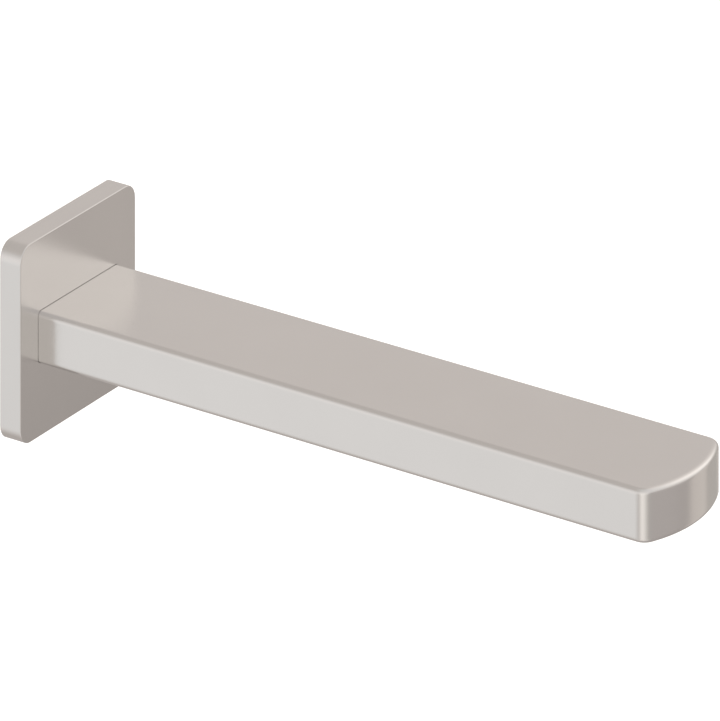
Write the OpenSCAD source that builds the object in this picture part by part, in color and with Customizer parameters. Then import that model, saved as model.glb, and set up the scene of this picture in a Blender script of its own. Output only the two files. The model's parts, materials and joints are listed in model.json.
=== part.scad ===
// Wall mounted bath spout: a slim rectangular spout with a bowed nose, slipped
// over a G1/2 nipple, with a square wall plate and a concealed aerator.
//
// Frame: millimetres, +Z up, +X right as seen facing the wall. The finished wall
// is the plane y = 0 and the spout comes out of it towards -Y. The origin is on
// the inlet's axis.

/* [Spout] */
// Width of the spout
spout_w = 41.8; // [34:0.1:46]
// Height of the spout
spout_h = 15.9; // [14.5:0.1:24]
// Reach of the nose from the wall
spout_reach = 229.25; // [150:0.25:320]
// Distance from the wall to the open root of the spout
spout_root = 2.0; // [1.8:0.1:2.6]
// Wall of the spout's shell
shell_wall = 1.6; // [1.2:0.1:2.2]
// Radius along the four long edges
spout_edge_r = 1.65; // [1:0.05:3]
// Rise of the nose's bow over the spout's width
nose_bow = 5.6; // [3:0.1:9]
// Radius of the two upright edges of the nose
nose_corner_r = 5.1; // [3.5:0.1:7]
// Solid metal behind the tip of the nose
nose_solid = 10; // [9:0.5:14]

/* [Wall plate] */
// Side of the square plate
plate_side = 60; // [57:0.5:90]
// Depth of the plate from the wall to its front
plate_depth = 7.75; // [7:0.25:12]
// Radius of the plate's four corners
plate_corner_r = 5.1; // [3:0.1:12]
// Chamfer round the plate's front
plate_edge = 0.4; // [0.2:0.1:1]
// Thickness of the plate's front and rim
plate_wall = 2.0; // [1.5:0.1:2.5]
// Gap between the plate and the spout on each side
plate_gap = 0.12; // [0.1:0.01:0.3]
// Width of the rubber seal round the spout
seal_w = 1.6; // [1.2:0.1:2]
// Wall of the collar that holds the seal
collar_wall = 1.2; // [0.8:0.1:1.5]
// Thickness of the frame that keeps the seal in
retainer_t = 0.8; // [0.6:0.1:1]
// Width of the foam gasket's ring
gasket_w = 2.6; // [2:0.1:2.8]

/* [Wall nipple] */
// Outside radius of the G1/2 pipe thread
thread_r = 10.48; // [10.4:0.01:10.5]
// Length of the thread that goes into the wall fitting
thread_length = 8.3; // [8:0.1:16]
// Radius of the plain neck behind the thread, where the washer sits
neck_r = 9.6; // [9.2:0.1:10]
// Bore of the threaded end
thread_bore_r = 7; // [6.2:0.1:8]
// Hexagon across its flats
hex_flats = 22; // [21.5:0.5:24]
// Distance that the hexagon stands out of the wall
hex_out = 1.5; // [1:0.1:1.6]
// Distance that the hexagon reaches into the wall
hex_in = 1.5; // [1:0.1:2]
// Thickness of the fibre washer behind the hexagon
washer_t = 1.2; // [1:0.1:2]
// Distance from the wall to the end of the spigot
spigot_end = 32; // [30:0.5:40]
// Length of the slim end of the spigot, which carries the O-rings
spigot_slim = 12; // [11:0.5:13]
// Step from the thick to the slim part of the spigot, on the radius
spigot_step = 0.8; // [0.7:0.05:1]
// Wall of the spigot under its O-ring grooves
spigot_wall = 0.55; // [0.5:0.05:0.8]
// Thickness of the rubber of the spigot's O-rings
spigot_ring_t = 1.2; // [1:0.05:1.4]

/* [Inlet block and screw] */
// Metal above and below the spigot's bore
block_wall = 1.0; // [0.8:0.05:1.5]
// Length of the inlet block
inlet_length = 42; // [40:0.5:50]
// Distance from the wall to the grub screw
screw_s = 13; // [12:0.25:14]
// Radius of the M5 grub screw
screw_r = 2.5; // [2:0.1:2.6]
// Thickness of the screw's soft tip
tip_t = 0.7; // [0.5:0.05:0.9]
// Depth that the screw's end is sunk below the spout's underside
screw_sunk = 0.1; // [0.05:0.05:0.4]
// Depth of the grub screw's hexagon socket
socket_depth = 1.4; // [1:0.1:1.7]
// Socket across its flats
socket_flats = 2.5; // [2:0.1:2.6]

/* [Water tube] */
// Wall of the water tube
tube_wall = 1; // [0.8:0.1:1.2]
// Length of the tube that goes into each block
tube_engage = 7; // [6:0.5:8]
// Thickness of the rubber of the tube's O-rings
tube_ring_t = 1.0; // [0.8:0.05:1.1]
// Length of each cradle under the tube
cradle_length = 6; // [4:0.5:12]

/* [Outlet] */
// Distance from the tip of the nose to the outlet's axis
outlet_setback = 22; // [20.5:0.5:26]
// Outside radius of the aerator's thread
aerator_r = 9.25; // [8:0.05:9.5]
// Length of the outlet block behind the outlet's axis
outlet_back = 20; // [19:0.5:26]
// Height of the duct above the aerator's seat
duct_h = 2.2; // [1.8:0.1:3]
// Width of the duct
duct_w = 12; // [8:0.5:14]
// Metal over the duct
duct_roof = 1.4; // [1:0.1:2]
// Depth that the aerator is sunk in the underside
aerator_sunk = 0.3; // [0.2:0.1:0.8]
// Thickness of the aerator's rubber washer
aerator_washer_t = 1.2; // [1:0.1:1.6]
// Wall of the aerator's housing
housing_wall = 1.0; // [0.8:0.1:1.3]
// Thickness of the diffuser disc
diffuser_t = 1.3; // [1:0.1:1.6]
// Height of the mixing ring
mixing_h = 1.6; // [1.2:0.1:2]
// Thickness of each fine screen
screen_t = 0.25; // [0.2:0.05:0.3]
// Width of one opening of the honeycomb
cell_flats = 1.8; // [1.6:0.1:2.4]

/* [Hidden] */

// Finishes
NICKEL = "#bdb6af";
BRASS = "#c9a45c";
STEEL = "#c4c6c8";
RUBBER = "#26282a";
FIBRE = "#8d2f22";
FOAM = "#4a4d50";
ACETAL = "#e8e6df";

// Facets: true cylinders, and the rounded forms that are blended by a hull
ROUND = 64;
BLEND = 32;

// Clearances, per side
solder_gap = 0.05;
running_fit = 0.05;
ring_squeeze = 0.015;
snap_fit = 0.05;
tip_rest = 0.02;
over = 1;

// Shell and what is soldered in it
shell_in_w = spout_w - 2 * shell_wall;
shell_in_h = spout_h - 2 * shell_wall;
shell_in_r = max(0.4, spout_edge_r - shell_wall);
cavity_end = spout_reach - nose_solid;
block_w = shell_in_w - 2 * solder_gap;
block_h = shell_in_h - 2 * solder_gap;
block_edge_r = shell_in_r + 0.3;
underside = -spout_h / 2;

// Nose: one large arc over the spout's width, run into the sides by corner arcs
half_w = spout_w / 2;
nose_arc_r = (half_w * half_w + nose_bow * nose_bow) / (2 * nose_bow);
nose_arc_s = spout_reach - nose_arc_r;
nose_corner_x = half_w - nose_corner_r;
nose_corner_s = nose_arc_s
    + sqrt(pow(nose_arc_r - nose_corner_r, 2) - pow(nose_corner_x, 2));
nose_half_angle = atan2(nose_corner_x, nose_corner_s - nose_arc_s);

// Spigot and its bore in the inlet block
spigot_bore_r = block_h / 2 - block_wall;
spigot_r = spigot_bore_r - running_fit;
slim_bore_r = spigot_bore_r - spigot_step;
slim_r = slim_bore_r - running_fit;
slim_start = spigot_end - spigot_slim;
flat_z = -(slim_r + 0.15);
flat_start = screw_s - screw_r - 1.5;
ring_floor_r = slim_bore_r - ring_squeeze - spigot_ring_t;
ring_groove_w = spigot_ring_t + 0.5;
spigot_bore_in_r = ring_floor_r - spigot_wall;
ring_places = [slim_start + spigot_slim * 0.34, slim_start + spigot_slim * 0.72];
hex_corner_r = hex_flats / 2 / cos(30);
thread_start = hex_in + washer_t;
thread_end = thread_start + thread_length;
inlet_end = spout_root + inlet_length;

// Grub screw, its axis along Z
screw_hole_r = screw_r + running_fit;
tip_top = flat_z - tip_rest;
screw_top = tip_top - tip_t;
screw_bottom = underside + screw_sunk;
tip_r = screw_r - 0.8;

// Outlet and aerator
outlet_s = spout_reach - outlet_setback;
outlet_start = outlet_s - outlet_back;
duct_top = block_h / 2 - duct_roof;
seat_z = duct_top - duct_h - 0.6;
aerator_bore_r = aerator_r + running_fit;
housing_top = seat_z - aerator_washer_t;
housing_bottom = underside + aerator_sunk;
housing_in_r = aerator_r - housing_wall;
lip_t = 0.8;
lip_r = housing_in_r - 0.9;
insert_r = housing_in_r - snap_fit;
diffuser_bottom = housing_top - diffuser_t;
mixing_bottom = diffuser_bottom - mixing_h;
screens_bottom = mixing_bottom - 2 * screen_t;
honeycomb_bottom = housing_bottom + lip_t;
honeycomb_h = screens_bottom - honeycomb_bottom;

// Water tube
tube_r = min(slim_r, block_h / 2 - 1.7);
tube_socket_r = tube_r + running_fit;
tube_start = inlet_end - tube_engage;
tube_end = outlet_start + tube_engage;
tube_ring_out_r = tube_r + tube_ring_t;
tube_groove_w = tube_ring_t + 0.4;
rear_ring_s = inlet_end - tube_engage * 0.45;
front_ring_s = outlet_start + tube_engage * 0.45;

// Wall plate: aperture, collar and hollow
aperture_w = spout_w + 2 * plate_gap;
aperture_h = spout_h + 2 * plate_gap;
aperture_r = spout_edge_r + plate_gap;
hollow_side = plate_side - 2 * plate_wall;
hollow_r = max(0.8, plate_corner_r - plate_wall);
hollow_depth = plate_depth - plate_wall;
collar_end = 3.0;
seal_grow = 2 * seal_w;
collar_grow = seal_grow + 2 * collar_wall;
skirt_w = 0.9;
skirt_depth = 1.6;

// Turns local Z outwards from the wall and sets it off at distance s
module outward(s) {
    translate([0, -s, 0]) rotate([90, 0, 0]) children();
}

// Places children on the outlet's axis, upright
module at_outlet() {
    translate([0, -outlet_s, 0]) children();
}

// Rectangle with round corners, from true circles
module rounded_rect(w, h, r) {
    square([w - 2 * r, h], center = true);
    square([w, h - 2 * r], center = true);
    for (x = [-1, 1], y = [-1, 1])
        translate([x * (w / 2 - r), y * (h / 2 - r)]) circle(r = r, $fn = ROUND);
}

// Straight bar of that section, from distance s0 to s1
module bar(w, h, r, s0, s1) {
    outward(s0) linear_extrude(s1 - s0) rounded_rect(w, h, r);
}

// Round rod along the inlet's axis, from distance s0 to s1
module rod(r, s0, s1) {
    outward(s0) cylinder(r = r, h = s1 - s0, $fn = ROUND);
}

// Upright rod between two heights
module upright(r, z0, z1, facets = ROUND) {
    translate([0, 0, z0]) cylinder(r = r, h = z1 - z0, $fn = facets);
}

// Ring of round rubber about the local Z axis
module o_ring(inner_r, thickness) {
    rotate_extrude($fn = ROUND)
        translate([inner_r + thickness / 2, 0]) circle(d = thickness, $fn = 24);
}

// ---------- Wall nipple ----------

module wall_nipple() {
    color(BRASS) difference() {
        union() {
            rod(thread_r, -thread_end, -thread_start);
            rod(neck_r, -thread_start, 0);
            outward(-hex_in) cylinder(r = hex_corner_r, h = hex_in + hex_out, $fn = 6);
            rod(spigot_r, 0, slim_start);
            rod(slim_r, 0, spigot_end);
        }
        rod(thread_bore_r, -thread_end - over, -hex_in);
        rod(spigot_bore_in_r, -hex_in - over, spigot_end + over);
        for (s = ring_places) spigot_groove(s);
        spigot_flat();
    }
}

// Groove for one O-ring
module spigot_groove(s) {
    outward(s - ring_groove_w / 2) difference() {
        cylinder(r = slim_r + over, h = ring_groove_w, $fn = ROUND);
        translate([0, 0, -over])
            cylinder(r = ring_floor_r, h = ring_groove_w + 2 * over, $fn = ROUND);
    }
}

// Flat under the thick part of the spigot, open towards its end
module spigot_flat() {
    translate([-spigot_r, -slim_start - over, flat_z - spigot_r])
        cube([2 * spigot_r, slim_start + over - flat_start, spigot_r]);
}

module nipple_washer() {
    washer_in_r = neck_r + 0.1;
    washer_out_r = hex_flats / 2 + 1;
    color(FIBRE) difference() {
        rod(washer_out_r, -thread_start, -hex_in);
        rod(washer_in_r, -thread_start - over, -hex_in + over);
    }
}

module spigot_o_rings() {
    color(RUBBER)
        for (s = ring_places) outward(s) o_ring(ring_floor_r, spigot_ring_t);
}

// ---------- Spout ----------

// Outer form: the straight bar run into the bowed nose, all edges rounded
module spout_form() {
    edge_z = spout_h / 2 - spout_edge_r;
    hull() {
        outward(spout_root) linear_extrude(over)
            for (x = [-1, 1], y = [-1, 1])
                translate([x * (half_w - spout_edge_r), y * edge_z])
                    circle(r = spout_edge_r, $fn = BLEND);
        for (z = [-edge_z, edge_z]) translate([0, 0, z]) nose_edge();
    }
}

// Round edge along the nose's outline, at one height
module nose_edge() {
    for (x = [-1, 1])
        translate([x * nose_corner_x, -nose_corner_s, 0])
            rotate_extrude($fn = 2 * BLEND)
                edge_section(nose_corner_r - spout_edge_r);
    translate([0, -nose_arc_s, 0])
        rotate([0, 0, -90 - nose_half_angle])
            rotate_extrude(angle = 2 * nose_half_angle, $fn = 8 * BLEND)
                edge_section(nose_arc_r - spout_edge_r);
}

module edge_section(r) {
    intersection() {
        translate([r, 0]) circle(r = spout_edge_r, $fn = BLEND);
        translate([0, -spout_h]) square([r + spout_edge_r + over, 2 * spout_h]);
    }
}

module spout_shell() {
    color(NICKEL) difference() {
        spout_form();
        bar(shell_in_w, shell_in_h, shell_in_r, spout_root - over, cavity_end);
        screw_hole();
        at_outlet() upright(aerator_bore_r, underside - over, 0);
    }
}

// Hole for the grub screw, from below the spout up to the spigot's bore
module screw_hole() {
    translate([0, -screw_s, 0]) upright(screw_hole_r, underside - over, 0);
}

module inlet_block() {
    slim_bore_start = slim_start + 0.4;
    bore_end = spigot_end + 0.6;
    color(BRASS) difference() {
        bar(block_w, block_h, block_edge_r, spout_root, inlet_end);
        rod(spigot_bore_r, spout_root - over, slim_bore_start);
        rod(slim_bore_r, spout_root, bore_end);
        rod(tube_r - tube_wall, spout_root, inlet_end + over);
        rod(tube_socket_r, tube_start, inlet_end + over);
        rod(tube_ring_out_r + ring_squeeze, rear_ring_s - tube_groove_w / 2,
            rear_ring_s + tube_groove_w / 2);
        screw_hole();
    }
}

module tube_rear_seal() {
    color(RUBBER) outward(rear_ring_s) o_ring(tube_r, tube_ring_t);
}

module tube_front_seal() {
    color(RUBBER) outward(front_ring_s) o_ring(tube_r, tube_ring_t);
}

module water_tube() {
    color("#b87343") difference() {
        rod(tube_r, tube_start, tube_end);
        rod(tube_r - tube_wall, tube_start - over, tube_end + over);
    }
}

// Two saddles, a third and two thirds of the way between the blocks
module tube_cradles() {
    span = outlet_start - inlet_end;
    foot_w = 2 * tube_r + 8;
    color(ACETAL)
        for (share = [1 / 3, 2 / 3])
            translate([0, -(inlet_end + span * share - cradle_length / 2), 0])
                difference() {
                    bar(foot_w, shell_in_h, 1, 0, cradle_length);
                    rod(tube_socket_r, -over, cradle_length + over);
                    translate([-tube_socket_r, -cradle_length - over, 0])
                        cube([2 * tube_socket_r, cradle_length + 2 * over, shell_in_h]);
                }
}

module outlet_block() {
    riser = 3;
    color(BRASS) difference() {
        bar(block_w, block_h, block_edge_r, outlet_start, cavity_end - solder_gap);
        rod(tube_socket_r, outlet_start - over, tube_end);
        rod(tube_ring_out_r + ring_squeeze, front_ring_s - tube_groove_w / 2,
            front_ring_s + tube_groove_w / 2);
        rod(tube_r - tube_wall, outlet_start, tube_end + riser);
        translate([-duct_w / 2, -outlet_s, duct_top - duct_h])
            cube([duct_w, outlet_s - tube_end, duct_h]);
        translate([-duct_w / 2, -(tube_end + riser), 0])
            cube([duct_w, riser, duct_top]);
        at_outlet() upright(aerator_bore_r - 1.8, seat_z - over, duct_top);
        at_outlet() upright(aerator_bore_r, underside - over, seat_z);
    }
}

// ---------- Grub screw ----------

module screw_tip() {
    color(BRASS) translate([0, -screw_s, 0]) upright(tip_r, screw_top, tip_top);
}

module grub_screw() {
    socket_r = socket_flats / 2 / cos(30);
    color(STEEL) translate([0, -screw_s, 0]) difference() {
        upright(screw_r, screw_bottom, screw_top);
        upright(socket_r, screw_bottom - over, screw_bottom + socket_depth, 6);
    }
}

// ---------- Concealed aerator ----------

module aerator_washer() {
    washer_out_r = aerator_r - 0.2;
    washer_in_r = aerator_r - 1.9;
    color(RUBBER) at_outlet() difference() {
        upright(washer_out_r, housing_top, seat_z);
        upright(washer_in_r, housing_top - over, seat_z + over);
    }
}

// Perforated dome that stands up through the washer into the duct
module dome_filter() {
    rim_r = aerator_r - 2.1;
    crown_z = seat_z + 1.6;
    wall = 0.6;
    color(ACETAL) at_outlet() difference() {
        union() {
            upright(rim_r, housing_top, housing_top + wall);
            dome_cap(rim_r - 0.6, crown_z, 0);
        }
        dome_cap(rim_r - 0.6, crown_z, wall);
        for (ring = [1:3]) dome_holes(ring, crown_z);
    }
}

// Solid dome on the housing's top, smaller all round by inset
module dome_cap(r, crown_z, inset) {
    rise = crown_z - housing_top;
    ball_r = (r * r + rise * rise) / (2 * rise);
    translate([0, 0, housing_top]) rotate_extrude($fn = ROUND) intersection() {
        translate([0, rise - ball_r]) circle(r = ball_r - inset, $fn = 2 * ROUND);
        translate([0, -inset]) square([r, rise + over]);
    }
}

// Ring of round holes through the dome
module dome_holes(ring, crown_z) {
    count = 5 * ring;
    for (i = [0:count - 1])
        rotate([0, 0, i * 360 / count + ring * 11])
            translate([ring * 1.75, 0, 0])
                upright(0.45, housing_top - over, crown_z + over, 16);
}

module aerator_housing() {
    key_slots = 8;
    color(ACETAL) at_outlet() difference() {
        upright(aerator_r, housing_bottom, housing_top);
        upright(housing_in_r, housing_bottom + lip_t, housing_top + over);
        upright(lip_r, housing_bottom - over, housing_top);
        for (i = [0:key_slots - 1])
            rotate([0, 0, i * 360 / key_slots])
                translate([lip_r - 0.3, -0.6, housing_bottom - over])
                    cube([0.9, 1.2, lip_t + 2 * over - 0.2]);
    }
}

module diffuser_disc() {
    count = 16;
    jet_r = insert_r - 2.2;
    color(ACETAL) at_outlet() difference() {
        upright(insert_r, diffuser_bottom, housing_top);
        for (i = [0:count - 1])
            rotate([0, 0, i * 360 / count])
                translate([jet_r, 0, 0])
                    upright(0.55, diffuser_bottom - over, housing_top + over, 16);
    }
}

module mixing_ring() {
    color(ACETAL) at_outlet() difference() {
        upright(insert_r, mixing_bottom, diffuser_bottom);
        upright(insert_r - 1.2, mixing_bottom - over, diffuser_bottom + over);
    }
}

module fine_screens() {
    color(STEEL) at_outlet() {
        fine_screen(mixing_bottom - screen_t, 0);
        fine_screen(mixing_bottom - 2 * screen_t, 45);
    }
}

// Square mesh in a rim, turned by an angle
module fine_screen(z, angle) {
    pitch = 1.5;
    bar_w = 0.5;
    bars = floor(insert_r / pitch);
    rotate([0, 0, angle]) {
        difference() {
            upright(insert_r, z, z + screen_t);
            upright(insert_r - 0.8, z - over, z + screen_t + over);
        }
        intersection() {
            upright(insert_r - 0.4, z, z + screen_t);
            union() {
                for (i = [-bars:bars]) {
                    translate([i * pitch - bar_w / 2, -insert_r, z])
                        cube([bar_w, 2 * insert_r, screen_t]);
                    translate([-insert_r, i * pitch - bar_w / 2, z])
                        cube([2 * insert_r, bar_w, screen_t]);
                }
            }
        }
    }
}

module honeycomb() {
    web = 0.35;
    pitch = cell_flats + web;
    row = pitch * cos(30);
    rows = ceil(insert_r / row);
    color(ACETAL) at_outlet() difference() {
        upright(insert_r, honeycomb_bottom, screens_bottom);
        for (j = [-rows:rows], i = [-rows:rows])
            cell_if_inside(i * pitch + (j % 2 == 0 ? 0 : pitch / 2), j * row);
    }
}

// One hexagonal cell, where it fits whole inside the insert's rim
module cell_if_inside(x, y) {
    cell_r = cell_flats / 2 / cos(30);
    if (norm([x, y]) + cell_r < insert_r - 0.6)
        translate([x, y, 0]) rotate([0, 0, 30])
            upright(cell_r, honeycomb_bottom - over, screens_bottom + over, 6);
}

// ---------- Wall plate ----------

// Flat plate blank with a chamfered front
module plate_blank() {
    front_side = plate_side - 2 * plate_edge;
    hull() {
        outward(0) linear_extrude(plate_depth - plate_edge) plate_outline(plate_side, plate_corner_r);
        outward(0) linear_extrude(plate_depth) plate_outline(front_side, plate_corner_r - plate_edge);
    }
}

module plate_outline(side, r) {
    for (x = [-1, 1], y = [-1, 1])
        translate([x * (side / 2 - r), y * (side / 2 - r)]) circle(r = r, $fn = 2 * BLEND);
}

module wall_plate() {
    color(NICKEL) difference() {
        union() {
            difference() {
                plate_blank();
                bar(hollow_side, hollow_side, hollow_r, -over, hollow_depth);
            }
            bar(aperture_w + collar_grow, aperture_h + collar_grow,
                aperture_r + collar_grow / 2, collar_end, hollow_depth + over);
        }
        bar(aperture_w, aperture_h, aperture_r, 0, plate_depth + over);
        bar(aperture_w + seal_grow, aperture_h + seal_grow, aperture_r + seal_w,
            0, hollow_depth);
    }
}

module spout_seal() {
    grip = 0.05;
    color(RUBBER) difference() {
        bar(aperture_w + seal_grow, aperture_h + seal_grow, aperture_r + seal_w,
            collar_end, hollow_depth);
        bar(spout_w + grip, spout_h + grip, spout_edge_r + grip / 2,
            collar_end - over, hollow_depth + over);
    }
}

// Frame with a skirt that snaps over the collar
module seal_retainer() {
    frame_grow = collar_grow + 2 * snap_fit + 2 * skirt_w;
    color(ACETAL) difference() {
        bar(aperture_w + frame_grow, aperture_h + frame_grow,
            aperture_r + frame_grow / 2, collar_end - retainer_t, collar_end + skirt_depth);
        bar(aperture_w + collar_grow + 2 * snap_fit, aperture_h + collar_grow + 2 * snap_fit,
            aperture_r + collar_grow / 2 + snap_fit, collar_end, collar_end + skirt_depth + over);
        bar(aperture_w + 0.6, aperture_h + 0.6, aperture_r + 0.3, 0, collar_end + over);
    }
}

module wall_gasket() {
    outer = hollow_side - 2 * snap_fit;
    inner = outer - 2 * gasket_w;
    color(FOAM) difference() {
        bar(outer, outer, hollow_r, 0, hollow_depth);
        bar(inner, inner, max(0.5, hollow_r - gasket_w), -over, hollow_depth + over);
    }
}

wall_nipple();
nipple_washer();
spigot_o_rings();
spout_shell();
inlet_block();
tube_rear_seal();
water_tube();
tube_cradles();
tube_front_seal();
outlet_block();
screw_tip();
grub_screw();
aerator_washer();
dome_filter();
aerator_housing();
diffuser_disc();
mixing_ring();
fine_screens();
honeycomb();
wall_plate();
spout_seal();
seal_retainer();
wall_gasket();
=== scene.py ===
"""Looks of the wall mounted bath spout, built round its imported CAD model.

Every surface is a grid worked out with numpy: a section carried along an outline,
a rounded rectangle carried through a plate's profile, or a turned profile whose
radius also depends on the angle. Lengths inside the classes are millimetres, in
the CAD's own frame: +Z up, +X right facing the wall, and the distance out of the
wall, s, runs along -Y.
"""

import json
import logging
import math
from dataclasses import dataclass, field, replace
from enum import Enum

import bmesh
import bpy
import numpy as np
from bpy.types import ID, Material, Node, NodeSocket, NodeTree, Object, World
from mathutils import Matrix, Vector

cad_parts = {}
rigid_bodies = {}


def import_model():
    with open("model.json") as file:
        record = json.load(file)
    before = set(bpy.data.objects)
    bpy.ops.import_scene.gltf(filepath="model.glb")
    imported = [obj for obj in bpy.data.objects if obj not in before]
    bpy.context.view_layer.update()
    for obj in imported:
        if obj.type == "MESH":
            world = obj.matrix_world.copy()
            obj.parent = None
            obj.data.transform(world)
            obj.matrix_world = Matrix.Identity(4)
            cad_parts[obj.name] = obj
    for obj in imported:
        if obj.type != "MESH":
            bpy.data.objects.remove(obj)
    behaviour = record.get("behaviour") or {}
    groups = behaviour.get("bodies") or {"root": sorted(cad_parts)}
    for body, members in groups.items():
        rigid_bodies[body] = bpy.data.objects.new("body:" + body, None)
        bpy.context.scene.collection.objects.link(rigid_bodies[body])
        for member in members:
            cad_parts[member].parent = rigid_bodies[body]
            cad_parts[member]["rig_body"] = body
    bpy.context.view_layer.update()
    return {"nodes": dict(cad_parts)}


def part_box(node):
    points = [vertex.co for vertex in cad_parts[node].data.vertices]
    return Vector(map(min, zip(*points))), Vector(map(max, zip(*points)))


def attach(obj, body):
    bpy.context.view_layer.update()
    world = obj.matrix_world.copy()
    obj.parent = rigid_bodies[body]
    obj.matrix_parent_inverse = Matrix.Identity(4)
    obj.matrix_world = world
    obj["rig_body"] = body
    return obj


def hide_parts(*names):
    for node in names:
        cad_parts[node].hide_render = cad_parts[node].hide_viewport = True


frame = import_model()

log = logging.getLogger("bath_spout")
MM = 0.001
SHARP_ANGLE = math.radians(32)
WELD = 2e-7
NEAR = 1e-3


# ---- mesh tools


@dataclass
class Surface:
    """A patch of quads: its points, their UVs in millimetres, and its faces."""

    points: np.ndarray
    uvs: np.ndarray
    quads: np.ndarray


def grid(points: np.ndarray, uvs: np.ndarray | None = None, wrap: tuple[bool, bool] = (False, False)) -> Surface:
    """A grid of points as quads: cell (i, j) joins points i, i+1 and j, j+1.

    Args:
        points: Array of rows by columns by 3, in millimetres.
        uvs: Array of rows by columns by 2, or None for the row and column lengths.
        wrap: Whether the last row joins the first, and the last column the first.

    Returns:
        The grid as one patch.
    """
    rows, columns = points.shape[:2]
    if uvs is None:
        along = np.zeros((rows, columns))
        along[1:] = np.cumsum(np.linalg.norm(np.diff(points, axis=0), axis=2), axis=0)
        across = np.zeros((rows, columns))
        across[:, 1:] = np.cumsum(np.linalg.norm(np.diff(points, axis=1), axis=2), axis=1)
        uvs = np.stack([along, across], axis=2)
    index = np.arange(rows * columns).reshape(rows, columns)
    if wrap[0]:
        index = np.concatenate([index, index[:1]])
    if wrap[1]:
        index = np.concatenate([index, index[:, :1]], axis=1)
    quads = np.stack([index[:-1, :-1], index[1:, :-1], index[1:, 1:], index[:-1, 1:]], axis=2)
    return Surface(points.reshape(-1, 3), uvs.reshape(-1, 2), quads.reshape(-1, 4))


def bridge(*loops: np.ndarray) -> Surface:
    """Closed loops of equal count joined one to the next as bands of quads."""
    return grid(np.stack(loops), wrap=(False, True))


def put_in_scene(name: str, data: ID | None) -> Object:
    """A new object at the origin that holds the data, linked to the scene."""
    made = bpy.data.objects.new(name, data)
    bpy.context.scene.collection.objects.link(made)
    return made


def build(name: str, surfaces: list[Surface], finish: "Finish") -> Object:
    """One object from patches: welded, wound outwards, smooth with sharp edges kept.

    Args:
        name: The object's name.
        surfaces: The patches, in millimetres.
        finish: The finish that its material comes from.

    Returns:
        The object, at the origin, with its place in its mesh.
    """
    starts = np.cumsum([0, *(len(patch.points) for patch in surfaces[:-1])])
    points = np.concatenate([patch.points for patch in surfaces])
    uvs = np.concatenate([patch.uvs for patch in surfaces])
    quads = np.concatenate([patch.quads + start for patch, start in zip(surfaces, starts)])
    mesh = bpy.data.meshes.new(name)
    mesh.from_pydata((points * MM).tolist(), [], quads.tolist())
    layer = mesh.uv_layers.new(name="surface")
    corners = np.empty(len(mesh.loops), dtype=np.int32)
    mesh.loops.foreach_get("vertex_index", corners)
    layer.data.foreach_set("uv", (uvs[corners] * MM).astype(np.float32).ravel())
    work = bmesh.new()
    work.from_mesh(mesh)
    bmesh.ops.remove_doubles(work, verts=work.verts, dist=WELD)
    bmesh.ops.dissolve_degenerate(work, edges=work.edges, dist=WELD)
    bmesh.ops.recalc_face_normals(work, faces=work.faces)
    work.to_mesh(mesh)
    work.free()
    mesh.shade_smooth()
    mesh.set_sharp_from_angle(angle=SHARP_ANGLE)
    mesh.materials.append(finish.material())
    return put_in_scene(name, mesh)


def stand_in(piece: Object, node: str) -> None:
    """Puts a piece in the place of a CAD node, on that node's body, and logs it.

    Args:
        piece: The piece.
        node: The CAD node that it takes the place of.
    """
    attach(piece, frame["nodes"][node]["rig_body"])
    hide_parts(node)
    log.info("%s: %d faces, stands for %s", piece.name, len(piece.data.polygons), node)


def box_mm(node: str) -> tuple[np.ndarray, np.ndarray]:
    """Lowest and highest corner of a CAD node, in millimetres."""
    low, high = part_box(node)
    return np.array(low) / MM, np.array(high) / MM


# ---- finishes


CLOUDS_PER_METRE = 45.0
CLOUD_DETAIL = 2.0
MARK_DETAIL = 3.0
MARK_ROUGHNESS = 0.6
TONE_SPAN = (0.1, 0.45)
MARK_SPAN = (0.3, 0.7)


def linear(code: str) -> tuple[float, float, float, float]:
    """An sRGB hex colour as linear red, green, blue and alpha.

    Args:
        code: The colour, written #rrggbb.

    Returns:
        Red, green and blue from 0 to 1, by the curve of the sRGB standard, and alpha 1.
    """
    knee, slope, offset, power = 0.04045, 12.92, 0.055, 2.4
    parts = [int(code[i : i + 2], 16) / 255 for i in (1, 3, 5)]
    return (*(c / slope if c <= knee else ((c + offset) / (1 + offset)) ** power for c in parts), 1.0)


def empty_tree(owner: Material | World) -> NodeTree:
    """Returns a new material's or world's node tree, emptied."""
    owner.use_nodes = True
    owner.node_tree.nodes.clear()
    return owner.node_tree


def add_node(tree: NodeTree, kind: str, sockets: dict[str | int, object] | None = None, **settings: object) -> Node:
    """Adds a node with its settings, and sets or links its inputs.

    Args:
        tree: The node tree.
        kind: The node's type name, after ShaderNode.
        sockets: Input name or index to a value, or to the output that feeds it.
        **settings: Attributes of the node itself.

    Returns:
        The new node.
    """
    made = tree.nodes.new("ShaderNode" + kind)
    for name, value in settings.items():
        setattr(made, name, value)
    for name, value in (sockets or {}).items():
        if isinstance(value, NodeSocket):
            tree.links.new(value, made.inputs[name])
        else:
            made.inputs[name].default_value = value
    return made


class Grain(Enum):
    """How a surface was worked, which sets the way its fine marks run."""

    ALONG_SURFACE = "lengthwise, on the piece's own UVs"
    UPRIGHT = "up and down"
    TURNED = "in rings about the inlet's axis"
    EVEN = "the same in every direction"


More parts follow.
